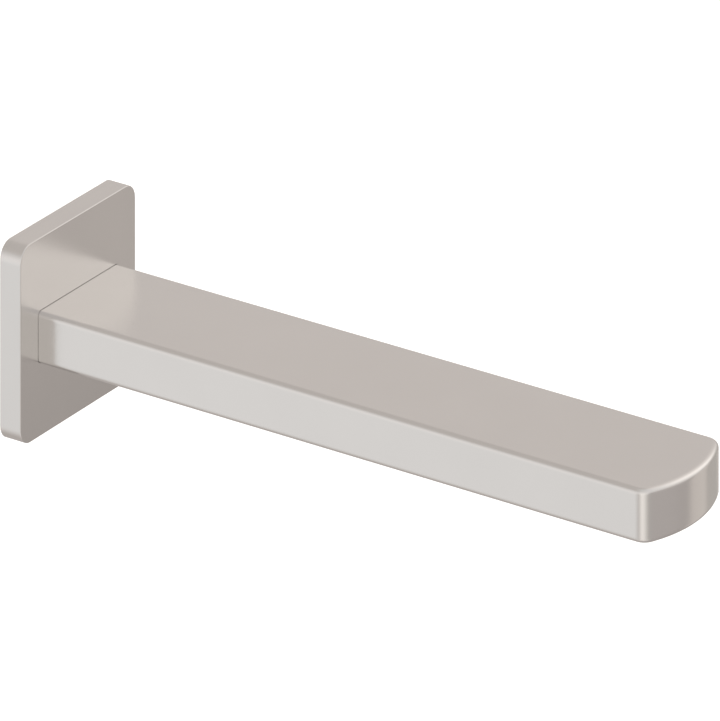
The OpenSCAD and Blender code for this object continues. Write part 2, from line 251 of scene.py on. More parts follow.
@dataclass(frozen=True)
class Finish:
    """A surface: two close tones that its marks run between, its gloss and relief.

    marks_mm is the width of a mark and stretch how many times longer it is. across is
    the direction over the brush lines, in which a brushed surface spreads light more.
    """

    name: str
    light: str
    dark: str
    metallic: float
    roughness: tuple[float, float]
    grain: Grain
    marks_mm: float
    stretch: float = 1.0
    relief: float = 0.05
    relief_mm: float = 0.01
    specular: float = 0.5
    anisotropy: float = 0.0
    across: tuple[float, float, float] = (0.0, 0.0, 1.0)

    def material(self) -> Material:
        """Returns this finish's material, made the first time it is asked for."""
        ready = bpy.data.materials.get(self.name)
        return ready if ready else self._make()

    def _place(self, tree: NodeTree) -> NodeSocket:
        """Adds the coordinates that the marks are drawn on.

        Args:
            tree: The material's node tree.

        Returns:
            The coordinates, one unit to a mark's width.
        """
        coords = add_node(tree, "TexCoord")
        fine = 1 / (self.marks_mm * MM)
        place, scale = coords.outputs["Object"], (fine, fine, fine / self.stretch)
        if self.grain is Grain.ALONG_SURFACE:
            place, scale = coords.outputs["UV"], (fine / self.stretch, fine, 1)
        if self.grain is Grain.TURNED:
            place, scale = self._rings(tree, place), (fine, fine, 1)
        return add_node(tree, "Mapping", {"Vector": place, "Scale": scale}).outputs[0]

    def _rings(self, tree: NodeTree, place: NodeSocket) -> NodeSocket:
        """Adds coordinates that close into rings about the inlet's axis.

        Args:
            tree: The material's node tree.
            place: The place on the piece.

        Returns:
            The distance from the axis, and the place along it.
        """
        parts = add_node(tree, "SeparateXYZ", {0: place})
        flat = add_node(tree, "CombineXYZ", {"X": parts.outputs["X"], "Y": parts.outputs["Z"]})
        radius = add_node(tree, "VectorMath", {0: flat.outputs[0]}, operation="LENGTH")
        return add_node(tree, "CombineXYZ", {"X": radius.outputs["Value"], "Y": parts.outputs["Y"]}).outputs[0]

    def _make(self) -> Material:
        """Builds the material: marks drive the tone, the roughness and a slight bump.

        Returns:
            The new material.
        """
        made = bpy.data.materials.new(self.name)
        tree = empty_tree(made)
        place = self._place(tree)
        fine = {"Vector": place, "Scale": 1.0, "Detail": MARK_DETAIL, "Roughness": MARK_ROUGHNESS}
        marks = add_node(tree, "TexNoise", fine)
        object_place = add_node(tree, "TexCoord").outputs["Object"]
        broad = {"Vector": object_place, "Scale": CLOUDS_PER_METRE, "Detail": CLOUD_DETAIL}
        cloud = add_node(tree, "TexNoise", broad)
        blend = add_node(tree, "Math", {0: marks.outputs[0], 1: cloud.outputs[0]}, operation="MULTIPLY")
        tone_span = dict(zip(("From Min", "From Max"), TONE_SPAN))
        tone = add_node(tree, "MapRange", {"Value": blend.outputs[0], **tone_span}).outputs[0]
        colour = add_node(tree, "Mix", {0: tone, 6: linear(self.dark), 7: linear(self.light)}, data_type="RGBA")
        gloss_span = dict(zip(("From Min", "From Max", "To Min", "To Max"), MARK_SPAN + self.roughness))
        rough = add_node(tree, "MapRange", {"Value": marks.outputs[0], **gloss_span})
        relief = {"Height": marks.outputs[0], "Strength": self.relief, "Distance": self.relief_mm * MM}
        bump = add_node(tree, "Bump", relief)
        across = add_node(tree, "CombineXYZ", dict(zip("XYZ", self.across)))
        shader = add_node(
            tree,
            "BsdfPrincipled",
            {
                "Base Color": colour.outputs[2],
                "Metallic": self.metallic,
                "Roughness": rough.outputs[0],
                "Specular IOR Level": self.specular,
                "Anisotropic": self.anisotropy,
                "Tangent": across.outputs[0],
                "Normal": bump.outputs[0],
            },
        )
        add_node(tree, "OutputMaterial", {"Surface": shader.outputs[0]})
        return made


# Nickel plated brass, brushed then lacquered: a warm satin grey, its lines too fine
# to see apart (about 0.05 mm), so they are drawn 0.3 mm wide and very faint
NICKEL_ALONG = Finish(
    name="brushed_nickel_lengthwise",
    light="#dbd9d7",
    dark="#d8d6d4",
    metallic=1.0,
    roughness=(0.22, 0.26),
    grain=Grain.ALONG_SURFACE,
    marks_mm=0.3,
    stretch=90,
    relief=0.02,
    relief_mm=0.004,
    anisotropy=0.65,
    across=(0.03, 0.0, 1.0),
)
NICKEL_UPRIGHT = replace(
    NICKEL_ALONG,
    name="brushed_nickel_upright",
    roughness=(0.235, 0.265),
    grain=Grain.UPRIGHT,
    stretch=60,
    relief=0.008,
    across=(1.0, 0.03, 0.0),
)
# Free-cutting brass, turned: yellow, with lathe rings about 0.1 mm apart
TURNED_BRASS = Finish(
    name="turned_brass",
    light="#d9c494",
    dark="#cbb27c",
    metallic=1.0,
    roughness=(0.2, 0.34),
    grain=Grain.TURNED,
    marks_mm=0.12,
    relief=0.2,
)
# Milled and soldered brass block: the same metal, duller, its cutter marks uneven
MILLED_BRASS = Finish(
    name="milled_brass",
    light="#d0ba88",
    dark="#bca070",
    metallic=1.0,
    roughness=(0.3, 0.45),
    grain=Grain.EVEN,
    marks_mm=0.4,
    relief=0.1,
)
# Drawn copper tube: reddish, with a drawn skin that is neither bright nor dull
DRAWN_COPPER = replace(
    MILLED_BRASS, name="drawn_copper", light="#c98a68", dark="#b47455", roughness=(0.25, 0.4), marks_mm=0.5
)
# Stainless steel, turned or woven: neutral grey
STAINLESS = replace(
    MILLED_BRASS,
    name="stainless_steel",
    light="#c9cacb",
    dark="#aeb0b2",
    roughness=(0.22, 0.36),
    marks_mm=0.15,
    relief=0.15,
    relief_mm=0.008,
)
# Moulded EPDM rubber: near black, with a slight mould texture
EPDM = Finish(
    name="moulded_epdm",
    light="#2c2d2f",
    dark="#1d1e20",
    metallic=0.0,
    roughness=(0.5, 0.66),
    grain=Grain.EVEN,
    marks_mm=0.25,
    relief=0.25,
    relief_mm=0.02,
    specular=0.4,
)
# Pressed vulcanised fibre: brick red, flecked
FIBRE = replace(
    EPDM,
    name="vulcanised_fibre",
    light="#a44a3c",
    dark="#7a3026",
    roughness=(0.6, 0.8),
    marks_mm=0.2,
    relief=0.3,
    relief_mm=0.03,
    specular=0.3,
)
# Closed cell foam: dark grey, with cells about 0.6 mm across
FOAM = replace(
    EPDM,
    name="closed_cell_foam",
    light="#5a5d61",
    dark="#3b3e41",
    roughness=(0.8, 0.95),
    marks_mm=0.6,
    relief=0.9,
    relief_mm=0.15,
    specular=0.2,
)
# Moulded acetal: milky white, or grey for the aerator's housing, with a soft gloss
ACETAL = replace(
    EPDM,
    name="moulded_acetal",
    light="#efede6",
    dark="#e4e1d8",
    roughness=(0.32, 0.42),
    marks_mm=0.5,
    relief=0.08,
    relief_mm=0.01,
    specular=0.5,
)
GREY_ACETAL = replace(ACETAL, name="grey_acetal", light="#a9abad", dark="#96989b", roughness=(0.34, 0.44))


# ---- spout


@dataclass(frozen=True)
class Hole:
    """A round hole through the spout's underside, and the square patch it sits in.

    s is its distance from the wall. reach is half the patch's side, and step is how
    far apart the points on it are. The hole's edge is broken by break_edge, with a
    flat band round it, and its round starts at round_share of the break.
    """

    s: float
    radius: float
    reach: float
    step: float
    break_edge: float = 0.2
    band: float = 0.1
    round_share: float = 0.3

    def stations(self) -> np.ndarray:
        """Distances from the wall that the patch needs across it."""
        return self.s + np.arange(-self.reach, self.reach + self.step / 2, self.step)

    def ring(self, grow: float, loop: np.ndarray, z: float) -> np.ndarray:
        """Points on the hole's edge, each on the ray from its centre to a patch point.

        Args:
            grow: Added to the radius.
            loop: Points round the patch.
            z: Height of the ring.

        Returns:
            One ring point for each patch point.
        """
        ray = loop[:, :2] - np.array([0, -self.s])
        ray /= np.linalg.norm(ray, axis=1, keepdims=True)
        spots = ray * (self.radius + grow) + np.array([0, -self.s])
        return np.column_stack([spots, np.full(len(loop), z)])


@dataclass
class Spout:
    """The spout's shell: a rounded rectangular tube that closes in a bowed nose.

    The outer skin is one family of loops. At each station on the plan's outline,
    a point of the section is the outline's point, moved inwards along the
    outline's normal by the edge's inset, r(1 - cos a), at height r(1 - sin a)
    from the top or underside, a being the angle round the edge. The patches are
    each hole's reach and step, and support is how close an extra loop stands to an
    edge, to keep the flat beside it flat.
    """

    edge_r: float = 1.65
    wall: float = 1.6
    bow: float = 5.6
    corner_r: float = 5.1
    nose_solid: float = 10.0
    cavity_edge_r: float = 0.4
    screw_hole_r: float = 2.55
    screw_patch: tuple[float, float] = (3.75, 0.75)
    outlet_clearance: float = 0.05
    outlet_patch: tuple[float, float] = (11.25, 1.5)
    edge_steps: int = 8
    corner_steps: int = 14
    nose_steps: int = 20
    support: float = 0.25
    before_corner: float = 2.0
    plain_from: float = 24.0
    plain_short_of_corner: float = 30.0
    plain_step: float = 8.0
    columns: np.ndarray = field(
        default_factory=lambda: np.array([17, 14, 11.25, 9.75, 8.25, 6.75, 5.25, 3.75, 3, 2.25, 1.5, 0.75])
    )

    def __post_init__(self) -> None:
        """Takes the overall sizes from the CAD shell's box, and the holes from what fills them."""
        low, high = box_mm("spout_shell")
        self.half_w, self.half_h = high[0], high[2]
        self.root, self.reach = -high[1], -low[1]
        screw_low, screw_high = box_mm("grub_screw")
        aerator_low, aerator_high = box_mm("aerator_housing")
        outlet_r = aerator_high[0] + self.outlet_clearance
        self.screw = Hole(-(screw_low[1] + screw_high[1]) / 2, self.screw_hole_r, *self.screw_patch)
        self.outlet = Hole(-(aerator_low[1] + aerator_high[1]) / 2, outlet_r, *self.outlet_patch)

    def _outline(self) -> np.ndarray:
        """The right half of the plan, from the root to the nose's tip.

        Returns:
            Rows of (x, s, normal x, normal s): a straight side, a corner arc and half
            of the nose's large arc, each tangent to the next.
        """
        arc_r = (self.half_w**2 + self.bow**2) / (2 * self.bow)
        arc_s = self.reach - arc_r
        corner_x = self.half_w - self.corner_r
        corner_s = arc_s + math.sqrt((arc_r - self.corner_r) ** 2 - corner_x**2)
        turn = math.atan2(corner_s - arc_s, corner_x)
        sides = [self.root, self.root + self.support, corner_s - self.before_corner, corner_s - self.support]
        sides += list(np.arange(self.plain_from, corner_s - self.plain_short_of_corner, self.plain_step))
        sides = np.unique(np.concatenate([sides, self.screw.stations(), self.outlet.stations()]))
        rows = [np.column_stack([np.full(len(sides), self.half_w), sides, np.ones(len(sides)), np.zeros(len(sides))])]
        for centre_x, centre_s, r, a0, a1, steps in (
            (corner_x, corner_s, self.corner_r, 0, turn, self.corner_steps),
            (0, arc_s, arc_r, turn, math.pi / 2, self.nose_steps),
        ):
            a = np.linspace(a0, a1, steps + 1)[(1 if a0 else 0) :]
            n = np.column_stack([np.cos(a), np.sin(a)])
            rows.append(np.column_stack([centre_x + r * n[:, 0], centre_s + r * n[:, 1], n]))
        return np.concatenate(rows)

    def _profile(self, edge_r: float, half_h: float) -> np.ndarray:
        """One side of the section, from the underside to the top.

        Args:
            edge_r: Radius of the section's edges.
            half_h: Half the section's height.

        Returns:
            Rows of (inset from the outline, height).
        """
        a = np.linspace(0, math.pi / 2, self.edge_steps + 1)
        inset, rise = edge_r * (1 - np.sin(a)), edge_r * (1 - np.cos(a))
        flat = half_h - edge_r
        lower = np.column_stack([inset, -half_h + rise])
        side = np.array([[0, -flat + self.support], [0, 0], [0, flat - self.support]])
        upper = np.column_stack([inset[::-1], half_h - rise[::-1]])
        return np.concatenate([lower, side, upper])

    def _skin(self, outline: np.ndarray, edge_r: float, half_h: float) -> tuple[np.ndarray, int]:
        """All loops of a skin, and the index where each loop's underside starts.

        Args:
            outline: Rows of (x, s, normal x, normal s).
            edge_r: Radius of the section's edges.
            half_h: Half the section's height.

        Returns:
            Array of stations by points by 3, and the index of the first point of the
            underside's run from left to right.
        """
        x, s, nx, ns = (outline[:, i : i + 1] for i in range(4))
        inset, z = self._profile(edge_r, half_h).T
        across, out = x - inset * nx, s - inset * ns
        flat_half = outline[0, 0] - edge_r
        columns = np.concatenate([[flat_half - self.support], self.columns])
        shares = np.concatenate([columns, [0], -columns[::-1]]) / flat_half
        span = across[:, -1:] * shares
        span_out = np.repeat(out[:, -1:], len(shares), axis=1)
        high, low = np.full(span.shape, half_h), np.full(span.shape, -half_h)
        heights = np.repeat(z[None], len(outline), axis=0)
        loops = np.concatenate(
            [
                np.stack([across, -out, heights], axis=2),
                np.stack([span, -span_out, high], axis=2),
                np.stack([-across[:, ::-1], -out[:, ::-1], heights[:, ::-1]], axis=2),
                np.stack([-span, -span_out, low], axis=2),
            ],
            axis=1,
        )
        return loops, 2 * len(z) + len(shares)

    def _uvs(self, loops: np.ndarray) -> np.ndarray:
        """Where each point lies along the side's outline, and round the section at the root.

        Args:
            loops: Array of stations by points by 3.

        Returns:
            Array of stations by points by 2, in millimetres.
        """
        middle = loops[:, self.edge_steps + 2]
        along = np.concatenate([[0], np.cumsum(np.linalg.norm(np.diff(middle, axis=0), axis=1))])
        around = np.concatenate([[0], np.cumsum(np.linalg.norm(np.diff(loops[0], axis=0), axis=1))])
        return np.stack(np.meshgrid(along, around, indexing="ij"), axis=2)

    def _cut(self, skin: Surface, loops: np.ndarray, first: int, hole: Hole) -> tuple[Surface, np.ndarray]:
        """Takes a hole's square patch out of a skin.

        Args:
            skin: The skin as one grid.
            loops: The skin's points.
            first: Index of the underside's first point.
            hole: The hole.

        Returns:
            The skin without the patch's quads, and the points round the patch in order.
        """
        s = -loops[:, first, 1]
        rows = np.flatnonzero(np.abs(s - hole.s) < hole.reach + NEAR)
        x = loops[0, first:, 0]
        cols = first + np.flatnonzero(np.abs(x) < hole.reach + NEAR)
        r0, r1, c0, c1 = rows[0], rows[-1], cols[0], cols[-1]
        count = loops.shape[1]
        at_row, at_col = skin.quads[:, 0] // count, skin.quads[:, 0] % count
        inside = (at_row >= r0) & (at_row < r1) & (at_col >= c0) & (at_col < c1)
        edge = np.concatenate([loops[r0, c0:c1], loops[r0:r1, c1], loops[r1, c1:c0:-1], loops[r1:r0:-1, c0]])
        return Surface(skin.points, skin.uvs, skin.quads[~inside]), edge

    def _hole_walls(self, outer: np.ndarray, inner: np.ndarray, hole: Hole) -> Surface:
        """Bands from the outer patch's edge into the hole and out to the inner patch's edge.

        Args:
            outer: Points round the outer skin's patch.
            inner: Points round the inner skin's patch.
            hole: The hole.

        Returns:
            The bands as one patch.
        """
        low, high = -self.half_h, -self.half_h + self.wall
        round_start = hole.break_edge * hole.round_share
        broken = hole.ring(hole.break_edge, outer, low)
        return bridge(
            outer,
            0.5 * (outer + broken),
            hole.ring(hole.break_edge + hole.band, outer, low),
            broken,
            hole.ring(round_start, outer, low + round_start),
            hole.ring(0, outer, low + hole.break_edge),
            hole.ring(0, outer, high),
            inner,
        )

    def make(self) -> None:
        """Builds the shell as one closed skin: outside, root rim, inside and both holes."""
        outline = self._outline()
        loops, first = self._skin(outline, self.edge_r, self.half_h)
        outer = grid(loops, self._uvs(loops), wrap=(False, True))
        cavity_end = self.reach - self.nose_solid
        straight = outline[outline[:, 1] < cavity_end - self.support]
        straight = np.concatenate([straight, [[self.half_w, cavity_end, 1, 0]]])
        straight[:, 0] = self.half_w - self.wall
        inner_loops, inner_first = self._skin(straight, self.cavity_edge_r, self.half_h - self.wall)
        inner = grid(inner_loops, self._uvs(inner_loops), wrap=(False, True))
        parts = []
        for hole in (self.screw, self.outlet):
            outer, outer_edge = self._cut(outer, loops, first, hole)
            inner, inner_edge = self._cut(inner, inner_loops, inner_first, hole)
            parts.append(self._hole_walls(outer_edge, inner_edge, hole))
        parts += [outer, inner, bridge(loops[0], inner_loops[0])]
        end = inner_loops[-1]
        half_way = end * [0.5, 1, 0.5]
        pole = np.repeat([[0, -cavity_end, 0]], len(end), axis=0)
        parts.append(bridge(end, half_way, pole))
        stand_in(build("spout_body", parts, NICKEL_ALONG), "spout_shell")


# ---- wall plate


@dataclass
class WallPlate:
    """The square plate: rounded rectangles carried through its profile and back.

    Each loop has its own width, height, corner radius and distance from the wall,
    and all have the same count of points, so the whole plate is one closed grid.
    The supports are how close an extra loop or point stands to an edge.
    """

    corner_r: float = 5.1
    edge_r: float = 0.25
    wall: float = 2.0
    gap: float = 0.06
    seal_w: float = 1.6
    collar_wall: float = 1.2
    collar_end: float = 3.0
    spout_edge_r: float = 1.65
    rim_break: float = 0.15
    rim_support: float = 0.4
    edge_support: float = 0.15
    aperture_break: float = 0.08
    aperture_support: float = 0.3
    side_support: float = 0.3
    arc_steps: int = 14
    edge_steps: int = 5

    def __post_init__(self) -> None:
        """Takes the side and the depth from the CAD plate's box, and the aperture from the spout's."""
        low, high = box_mm("wall_plate")
        self.side, self.depth = 2 * high[0], -low[1]
        _, spout_high = box_mm("spout_shell")
        self.aperture_w = 2 * (spout_high[0] + self.gap)
        self.aperture_h = 2 * (spout_high[2] + self.gap)

    def _loop(self, w: float, h: float, r: float, s: float) -> np.ndarray:
        """A rounded rectangle about the inlet's axis, counter-clockwise.

        Args:
            w: Width.
            h: Height.
            r: Radius of its corners.
            s: Distance from the wall.

        Returns:
            Its points: four quarter arcs, and five points along each side between them.
        """
        a = np.linspace(0, math.pi / 2, self.arc_steps + 1)
        points = []
        for quarter, (sign_x, sign_z) in enumerate(((1, 1), (-1, 1), (-1, -1), (1, -1))):
            turn = a + quarter * math.pi / 2
            centre = np.array([sign_x * (w / 2 - r), sign_z * (h / 2 - r)])
            points.append(centre + r * np.column_stack([np.cos(turn), np.sin(turn)]))
        filled = []
        for quarter in range(4):
            start, end = points[quarter][-1], points[(quarter + 1) % 4][0]
            near_end = self.side_support / np.linalg.norm(end - start)
            shares = np.array([near_end, 0.25, 0.5, 0.75, 1 - near_end])[:, None]
            filled += [points[quarter], start + shares * (end - start)]
        flat = np.concatenate(filled)
        return np.column_stack([flat[:, 0], np.full(len(flat), -s), flat[:, 1]])

    def _outside(self) -> list[tuple[float, float, float, float]]:
        """The profile from the rim's inner edge round the outside to the front's flat.

        Returns:
            Rows of (width, height, corner radius, distance from the wall).
        """
        side, depth, r, e = self.side, self.depth, self.corner_r, self.edge_r
        rim = side - 2 * self.rim_break
        rows = [(rim, rim, r - self.rim_break, 0.0), (side, side, r, self.rim_break)]
        rows += [(side, side, r, s) for s in (self.rim_support, depth / 2, depth - e - self.edge_support)]
        for a in np.linspace(0, math.pi / 2, self.edge_steps + 1):
            inset = e * (1 - math.cos(a))
            rows.append((side - 2 * inset, side - 2 * inset, r - inset, depth - e * (1 - math.sin(a))))
        front = side - 2 * e - 2 * self.edge_support
        return [*rows, (front, front, r - e - self.edge_support, depth)]

    def _inside(self) -> list[tuple[float, float, float, float]]:
        """The profile from the front's flat through the aperture, collar and hollow to the rim.

        Returns:
            Rows of (width, height, corner radius, distance from the wall).
        """
        floor, hollow = self.depth - self.wall, self.side - 2 * self.wall
        seal, collar = self.seal_w, self.seal_w + self.collar_wall
        steps = (
            (self.aperture_support, self.depth),
            (self.aperture_break, self.depth),
            (0.0, self.depth - self.aperture_break),
            (0.0, floor),
            (seal, floor),
            (seal, self.collar_end),
            (collar, self.collar_end),
            (collar, floor),
        )
        w, h, r = self.aperture_w, self.aperture_h, self.spout_edge_r + self.gap
        rows = [(w + 2 * grow, h + 2 * grow, r + grow, s) for grow, s in steps]
        hollow_r = self.corner_r - self.wall
        return [*rows, (hollow, hollow, hollow_r, floor), (hollow, hollow, hollow_r, 0.0)]

    def make(self) -> None:
        """Builds the plate with its collar as one closed skin."""
        loops = np.stack([self._loop(*row) for row in self._outside() + self._inside()])
        piece = build("dress_plate", [grid(loops, wrap=(True, True))], NICKEL_UPRIGHT)
        stand_in(piece, "wall_plate")


# ---- turned parts


THREAD_STEEPNESS = 1.35
THREAD_RUN_OUT = 0.5


class Axis(Enum):
    """The axis that a turned part is worked about."""

    INLET = "out of the wall"
    UPRIGHT = "up"


def turned(radii: np.ndarray, along: np.ndarray, axis: Axis, centre_s: float = 0.0, closed: bool = True) -> Surface:
    """A turned surface whose radius may also change with the angle.

    The point at station i and angle j is radii[i, j] away from the axis, at
    along[i] on it.

    Args:
        radii: Array of stations by angles, in millimetres.
        along: Place of each station: a distance from the wall, or a height.
        axis: The axis it turns about.
        centre_s: Distance of an upright axis from the wall.
        closed: Whether the last station joins the first.

    Returns:
        The surface as one patch.
    """
    count = radii.shape[1]
    a = np.arange(count) * 2 * math.pi / count
    x, y = radii * np.cos(a), radii * np.sin(a)
    place = np.repeat(along[:, None], count, axis=1)
    if axis is Axis.INLET:
        points = np.stack([x, -place, y], axis=2)
    else:
        points = np.stack([x, y - centre_s, place], axis=2)
    return grid(points, wrap=(closed, True))


def hexagon(count: int, flats: float) -> np.ndarray:
    """Distance from the centre of a hexagon to its edge, at each of count angles."""
    a = np.arange(count) * 2 * math.pi / count
    return flats / 2 / np.cos((a + math.pi / 6) % (math.pi / 3) - math.pi / 6)


def thread(along: np.ndarray, count: int, crest: float, pitch: float, depth: float) -> np.ndarray:
    """Radii of a right-hand thread: a rounded wave of the place along it less the turn.

    The wave is a cosine made steeper and cut flat at its crests and roots, and it
    runs out over half a pitch at both ends.

    Args:
        along: Place of each station.
        count: How many angles.
        crest: Radius of the crests.
        pitch: Distance from crest to crest.
        depth: Depth from crest to root.

    Returns:
        Array of stations by angles.
    """
    turn = np.arange(count) / count
    phase = along[:, None] / pitch - turn[None]
    wave = 0.5 - 0.5 * np.clip(THREAD_STEEPNESS * np.cos(2 * math.pi * phase), -1, 1)
    ends = np.minimum(along - along.min(), along.max() - along)[:, None] / (THREAD_RUN_OUT * pitch)
    return crest - depth * wave * np.clip(ends, 0, 1)


@dataclass
class WallNipple:
    """The G1/2 nipple: thread, neck, hexagon, and the stepped spigot with its grooves.

    hex_stations are shares of hex_half, and hex_cuts is how far the chamfer cone
    stands inside the corners at each of them but the last.
    """

    thread_pitch: float = 1.814
    thread_depth: float = 1.0
    thread_r: float = 10.48
    thread_end: float = 11.0
    thread_start: float = 2.7
    thread_steps: int = 14
    lead: float = 0.3
    lead_r: float = 9.9
    lead_length: float = 0.35
    face_r: float = 9.3
    neck_r: float = 9.6
    hex_flats: float = 22.0
    hex_half: float = 1.5
    hex_stations: tuple[float, ...] = (-1, -1, -0.72, -0.4, 0.4, 0.72, 1, 1)
    hex_cuts: tuple[float, ...] = (2.4, 1.6, 0.7, 0.0, 0.0, 0.7, 1.6)
    hex_face_r: float = 9.0
    bore_r: float = 7.0
    bore_break: float = 0.4
    spigot_r: float = 5.25
    root_r: float = 5.6
    root_fillet: float = 0.3
    slim_r: float = 4.45
    slim_start: float = 20.0
    step_chamfer: float = 0.4
    flat_drop: float = 4.6
    flat_start: float = 9.0
    ring_floor: float = 3.285
    tip_s: float = 32.0
    tip_chamfer: float = 0.7
    water_r: float = 2.735
    water_break: float = 0.3
    groove_w: float = 1.7
    ring_places: tuple[float, float] = (24.08, 28.64)
    ring_t: float = 1.2
    ring_steps: int = 24
    count: int = 144

    def _plain(self, rows: list[tuple[float, float]]) -> tuple[np.ndarray, np.ndarray]:
        """Stations (radius, place) that are the same all round."""
        r, s = np.array(rows).T
        return np.repeat(r[:, None], self.count, axis=1), s

    def _hexagon(self) -> tuple[np.ndarray, np.ndarray]:
        """The hexagon, its corners cut back by a chamfer cone at both faces.

        Returns:
            Radii of stations by angles, and each station's place.
        """
        edge = hexagon(self.count, self.hex_flats)[None]
        corner = self.hex_flats / math.sqrt(3)
        limit = np.append(corner - np.array(self.hex_cuts), self.hex_face_r)
        return np.minimum(edge, limit[:, None]), np.array(self.hex_stations) * self.hex_half

    def _spigot(self) -> tuple[np.ndarray, np.ndarray]:
        """The spigot outside and the bore inside, with a flat under its thick part.

        The flat takes each radius down to flat_drop over the sine of the angle below
        the level.

        Returns:
            Radii of stations by angles, and each station's place.
        """
        thick = [(self.spigot_r, self.flat_start), (self.spigot_r, self.slim_start - self.step_chamfer)]
        thick += [(self.spigot_r - self.step_chamfer, self.slim_start)]
        rows = [(self.root_r, self.hex_half), (self.spigot_r, self.hex_half + self.root_fillet)]
        rows += [(self.spigot_r, self.flat_start)]
        flat = slice(len(rows), len(rows) + len(thick))
        rows += [*thick, (self.slim_r, self.slim_start)]
        for place in self.ring_places:
            a, b = place - self.groove_w / 2, place + self.groove_w / 2
            rows += [(self.slim_r, a), (self.ring_floor, a), (self.ring_floor, b), (self.slim_r, b)]
        rows += [(self.slim_r, self.tip_s - self.tip_chamfer), (self.slim_r - self.tip_chamfer, self.tip_s)]
        rows += [(self.water_r + self.water_break, self.tip_s), (self.water_r, self.tip_s - self.water_break)]
        rows += [(self.water_r, -self.hex_half), (self.bore_r, -self.hex_half)]
        rows += [(self.bore_r, -self.thread_end + self.bore_break), (self.bore_r + self.bore_break, -self.thread_end)]
        radii, s = self._plain(rows)
        a = np.arange(self.count) * 2 * math.pi / self.count
        radii[flat] = np.minimum(radii[flat], self.flat_drop / np.clip(-np.sin(a), NEAR, 1))
        return radii, s

    def make(self) -> None:
        """Builds the nipple as one closed turned skin, and its two O-rings."""
        step = self.thread_pitch / self.thread_steps
        run = -np.arange(self.thread_start, self.thread_end - self.lead_length, step)[::-1]
        cut = thread(run, self.count, self.thread_r, self.thread_pitch, self.thread_depth)
        start = self._plain([(self.face_r, -self.thread_end), (self.lead_r, -self.thread_end + self.lead)])
        neck = self._plain([(self.neck_r, -self.thread_start), (self.neck_r, -self.hex_half)])
        sections = [start, (cut, run), neck, self._hexagon(), self._spigot()]
        radii = np.concatenate([section[0] for section in sections])
        along = np.concatenate([section[1] for section in sections])
        piece = build("threaded_nipple", [turned(radii, along, Axis.INLET)], TURNED_BRASS)
        stand_in(piece, "wall_nipple")
        self._rings()

    def _rings(self) -> None:
        """Builds the O-rings: a circle of rubber carried round the spigot."""
        a = np.linspace(0, 2 * math.pi, self.ring_steps, endpoint=False)
        half = self.ring_t / 2
        patches = []
        for place in self.ring_places:
            radii = np.repeat((self.ring_floor + half + half * np.cos(a))[:, None], self.count, axis=1)
            patches.append(turned(radii, place + half * np.sin(a), Axis.INLET))
        stand_in(build("spigot_seals", patches, EPDM), "spigot_o_rings")


@dataclass
class GrubScrew:
    """The M5 screw under the spout, its hexagon socket facing down.

    The thread starts foot_plain above the foot and stops head_plain below the top.
    drill_share is how wide the socket's drilled end still is at drill_taper.
    """

    pitch: float = 0.8
    depth: float = 0.42
    thread_steps: int = 12
    foot_plain: float = 0.3
    head_plain: float = 0.2
    head_chamfer: float = 0.7
    foot_chamfer: float = 0.45
    socket_flats: float = 2.5
    socket_depth: float = 1.4
    socket_break: float = 0.12
    drill_share: float = 0.55
    drill_taper: float = 0.25
    drill_end: float = 0.35
    count: int = 96

    def make(self) -> None:
        """Builds the screw as a closed skin: pole, cone, thread, chamfer, socket, pole."""
        low, high = box_mm("grub_screw")
        r, s, foot, top = (high[0] - low[0]) / 2, -(low[1] + high[1]) / 2, low[2], high[2]
        run = np.arange(foot + self.foot_plain, top - self.head_plain, self.pitch / self.thread_steps)[::-1]
        cut = thread(run, self.count, r, self.pitch, self.depth)
        socket = hexagon(self.count, self.socket_flats)
        mouth_r = socket.max() + self.socket_break
        one = np.ones(self.count)
        rows = [0 * one, (r - self.head_chamfer) * one, *cut, (r - self.foot_chamfer) * one, mouth_r * one]
        rows += [socket, socket, self.drill_share * socket, 0 * one]
        floor = foot + self.socket_depth
        places = [top, top, *run, foot, foot, foot + self.socket_break]
        places += [floor, floor + self.drill_taper, floor + self.drill_end]
        skin = turned(np.array(rows), np.array(places), Axis.UPRIGHT, s, closed=False)
        stand_in(build("socket_screw", [skin], STAINLESS), "grub_screw")


@dataclass
class AeratorHousing:
    """The aerator's threaded ring, with key slots in its lip.

    The thread starts above a plain skirt and stops top_plain below the top.
    slot_share is how much of its pitch round the lip each half of a slot takes.
    """

    pitch: float = 1.0
    depth: float = 0.5
    thread_steps: int = 10
    thread_from: float = 1.6
    skirt: float = 1.4
    top_plain: float = 0.5
    foot_break: float = 0.25
    top_break: float = 0.3
    wall: float = 1.0
    lip: float = 0.8
    lip_in: float = 0.9
    lip_break: float = 0.12
    slots: int = 8
    slot_share: float = 0.1
    slot_depth: float = 0.6
    count: int = 192

    def make(self) -> None:
        """Builds the ring: plain skirt, thread, top, inside, and a lip whose edge steps out at each slot."""
        low, high = box_mm("aerator_housing")
        r, s, foot, top = (high[0] - low[0]) / 2, -(low[1] + high[1]) / 2, low[2], high[2]
        inner = r - self.wall
        one = np.ones(self.count)
        run = np.arange(foot + self.thread_from, top - self.top_plain, self.pitch / self.thread_steps)
        cut = thread(run, self.count, r, self.pitch, self.depth)
        turn = (np.arange(self.count) / self.count * self.slots) % 1.0
        in_slot = (turn < self.slot_share) | (turn > 1 - self.slot_share)
        slotted = inner - self.lip_in + self.slot_depth * in_slot
        rows = [(r - self.foot_break) * one, r * one, r * one, *cut, (r - self.top_break) * one]
        places = [foot, foot + self.foot_break, foot + self.skirt, *run, top - self.top_break]
        rows += [(r - self.top_break) * one, inner * one, inner * one, slotted, slotted, slotted + self.lip_break]
        places += [top, top, foot + self.lip, foot + self.lip, foot + self.lip_break, foot]
        skin = turned(np.array(rows), np.array(places), Axis.UPRIGHT, s)
        stand_in(build("aerator_ring", [skin], GREY_ACETAL), "aerator_housing")


# ---- carried-over CAD


